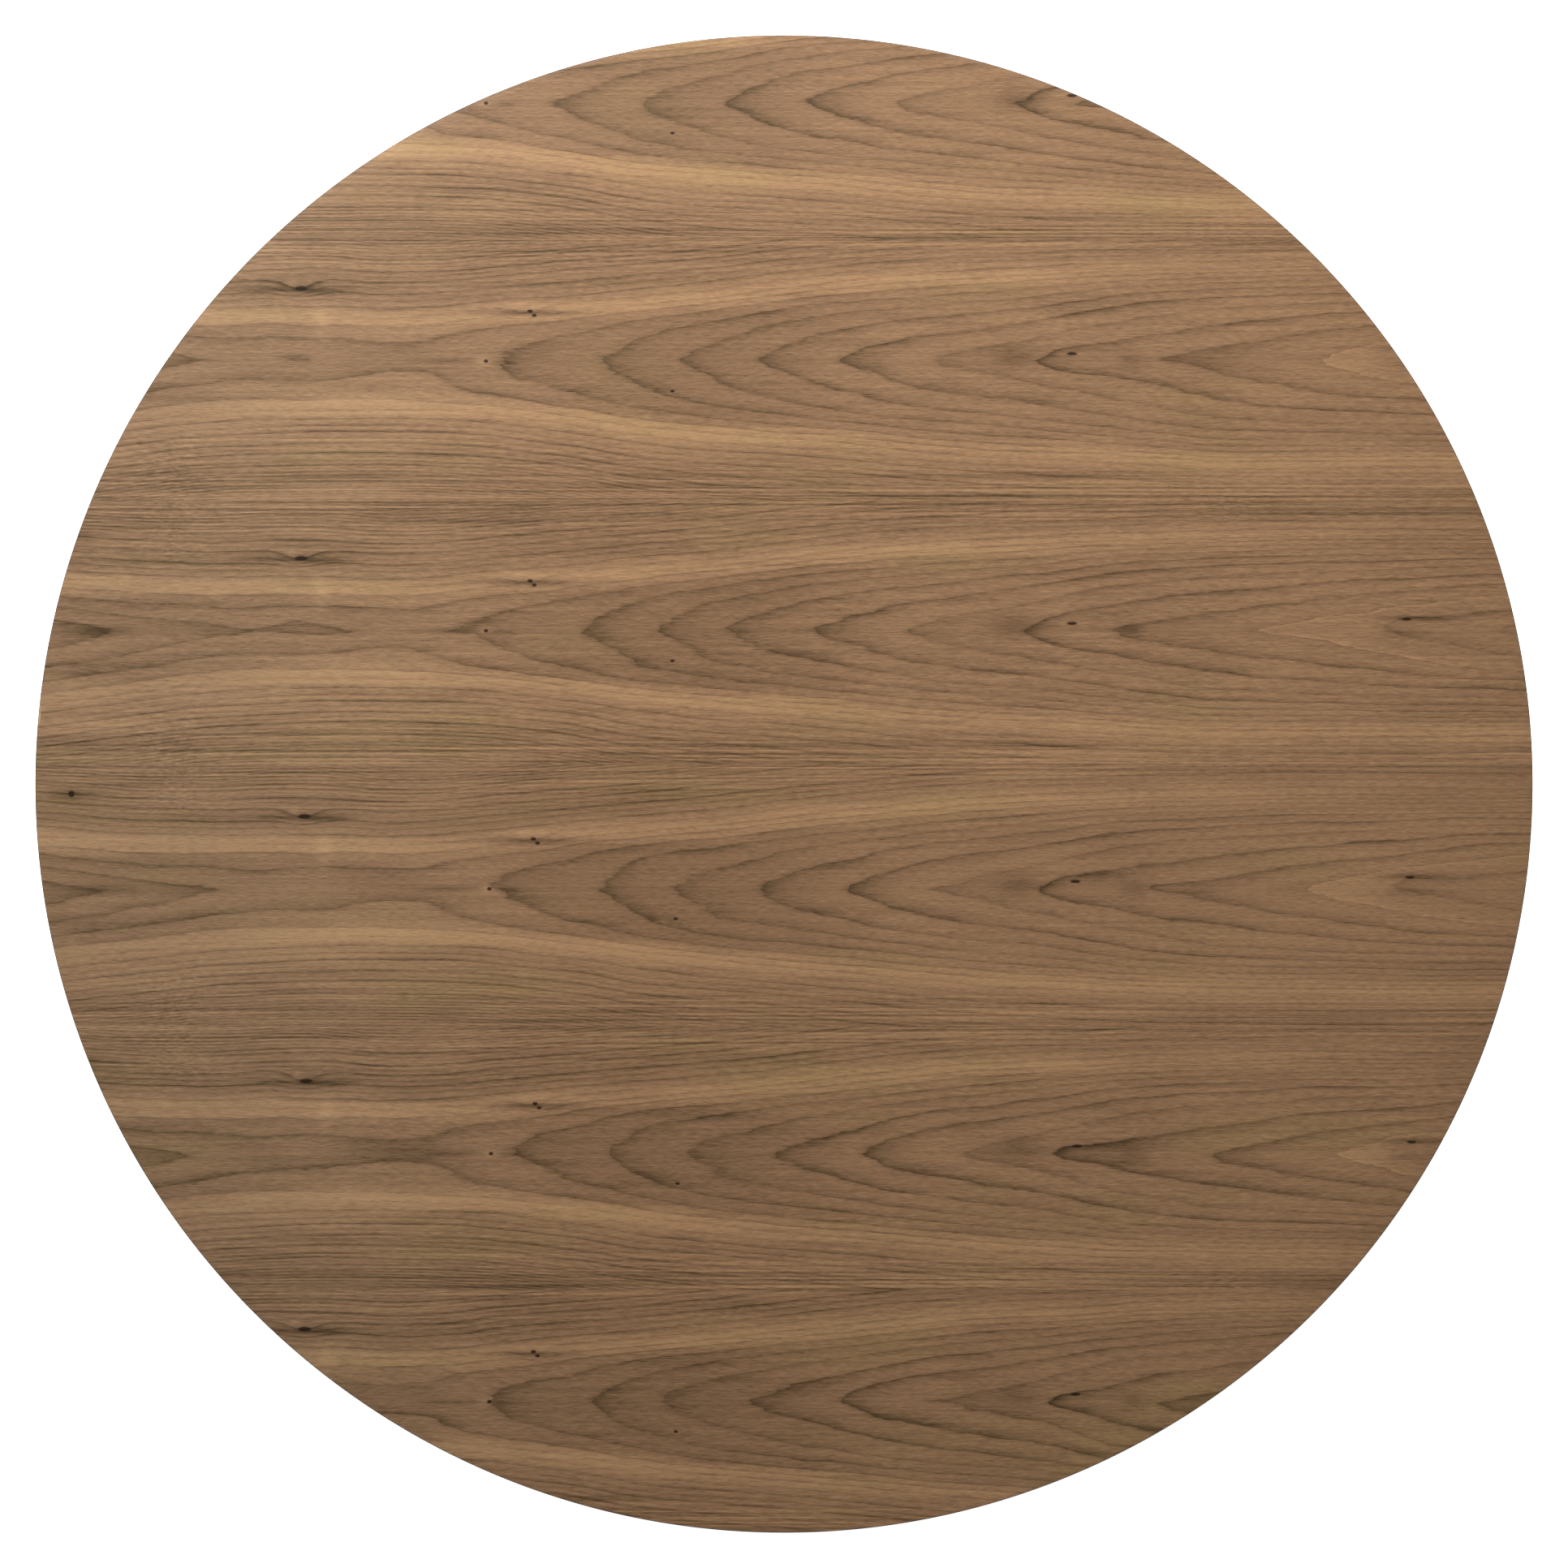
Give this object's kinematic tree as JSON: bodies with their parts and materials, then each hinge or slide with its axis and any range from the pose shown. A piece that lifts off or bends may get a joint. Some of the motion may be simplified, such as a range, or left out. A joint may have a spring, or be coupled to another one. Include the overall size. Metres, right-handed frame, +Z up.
{
  "type": "tilt top table",
  "caption": "Round wood-veneered pedestal table whose top unlatches and tilts upright on a shaft, on a steel column and four-arm base.",
  "frame": {"origin": "on the floor at the centre of the column, under the centre of the level top", "axes": "+Z up; +X along the veneer's grain and along the tilt shaft; -Y is the front, the edge that swings down when the top tilts"},
  "size_m": [0.9, 0.9, 0.74],
  "materials": {
    "face_veneer": "walnut face veneer under a thin satin lacquer",
    "sealed_board": "fibreboard with a sealed black edge",
    "laminate": "black balancing laminate, fine matt texture",
    "coated_steel": "black powder coat, fine texture",
    "coated_casting": "black powder coat over a casting",
    "zinc_steel": "bright zinc plate",
    "black_steel": "black oxide",
    "spring_steel": "bright spring wire",
    "rubber": "matt black rubber",
    "nylon": "natural nylon",
    "foot_plastic": "black nylon",
    "grip_plastic": "black moulded plastic, fine texture"
  },
  "bodies": {
    "pedestal": {"tilt_head": "coated_casting", "pivot_bush_left": "nylon", "pivot_bush_right": "nylon", "rest_pad_left": "rubber", "rest_pad_right": "rubber", "tilt_buffer_left": "rubber", "tilt_buffer_right": "rubber", "head_set_screws": "black_steel", "latch_bracket": "coated_steel", "bracket_screws": "black_steel", "latch_pin": "zinc_steel", "latch_pin_clip": "black_steel", "latch_spring": "spring_steel", "column_tube": "coated_steel", "tie_rod": "zinc_steel", "tie_rod_washer": "zinc_steel", "tie_rod_nut": "zinc_steel", "base_hub": "coated_casting", "hub_cover": "foot_plastic", "arm_screws": "black_steel", "base_arm_front_right": "coated_casting", "base_arm_rear_right": "coated_casting", "base_arm_rear_left": "coated_casting", "base_arm_front_left": "coated_casting"},
    "tilting_top": {"veneer_leaf_1": "face_veneer", "veneer_leaf_2": "face_veneer", "veneer_leaf_3": "face_veneer", "veneer_leaf_4": "face_veneer", "veneer_leaf_5": "face_veneer", "veneer_leaf_6": "face_veneer", "core_board": "sealed_board", "backer_sheet": "laminate", "bearer_left": "coated_steel", "bearer_right": "coated_steel", "bearer_wood_screws": "zinc_steel", "crossbar": "coated_steel", "crossbar_screws": "black_steel", "tilt_shaft": "zinc_steel", "shaft_roll_pins": "black_steel", "shaft_circlip_left": "black_steel", "shaft_circlip_right": "black_steel", "thrust_washer_left": "nylon", "thrust_washer_right": "nylon"},
    "latch": {"latch_hook": "coated_steel", "release_lever": "zinc_steel", "lever_grip": "grip_plastic"},
    "glide_front_right": {"glide_stud_front_right": "zinc_steel", "glide_foot_front_right": "foot_plastic"},
    "glide_rear_right": {"glide_stud_rear_right": "zinc_steel", "glide_foot_rear_right": "foot_plastic"},
    "glide_rear_left": {"glide_stud_rear_left": "zinc_steel", "glide_foot_rear_left": "foot_plastic"},
    "glide_front_left": {"glide_stud_front_left": "zinc_steel", "glide_foot_front_left": "foot_plastic"}
  },
  "joints": [
    {"name": "top_tilt", "type": "hinge", "parent": "pedestal", "child": "tilting_top", "pos_m": [0, -0.048, 0.6846], "axis": [1, 0, 0], "range_deg": [0, 90]},
    {"name": "latch_release", "type": "hinge", "parent": "pedestal", "child": "latch", "pos_m": [0, 0.09, 0.656], "axis": [-1, 0, 0], "range_deg": [0, 16], "stiffness_Nm_per_rad": 4.4, "springref_deg": -5.73, "deforming": ["latch_spring"]},
    {"name": "level_front_right", "type": "slide", "parent": "pedestal", "child": "glide_front_right", "axis": [0, 0, -1], "range_m": [0, 0.01]},
    {"name": "level_rear_right", "type": "slide", "parent": "pedestal", "child": "glide_rear_right", "axis": [0, 0, -1], "range_m": [0, 0.01]},
    {"name": "level_rear_left", "type": "slide", "parent": "pedestal", "child": "glide_rear_left", "axis": [0, 0, -1], "range_m": [0, 0.01]},
    {"name": "level_front_left", "type": "slide", "parent": "pedestal", "child": "glide_front_left", "axis": [0, 0, -1], "range_m": [0, 0.01]}
  ]
}
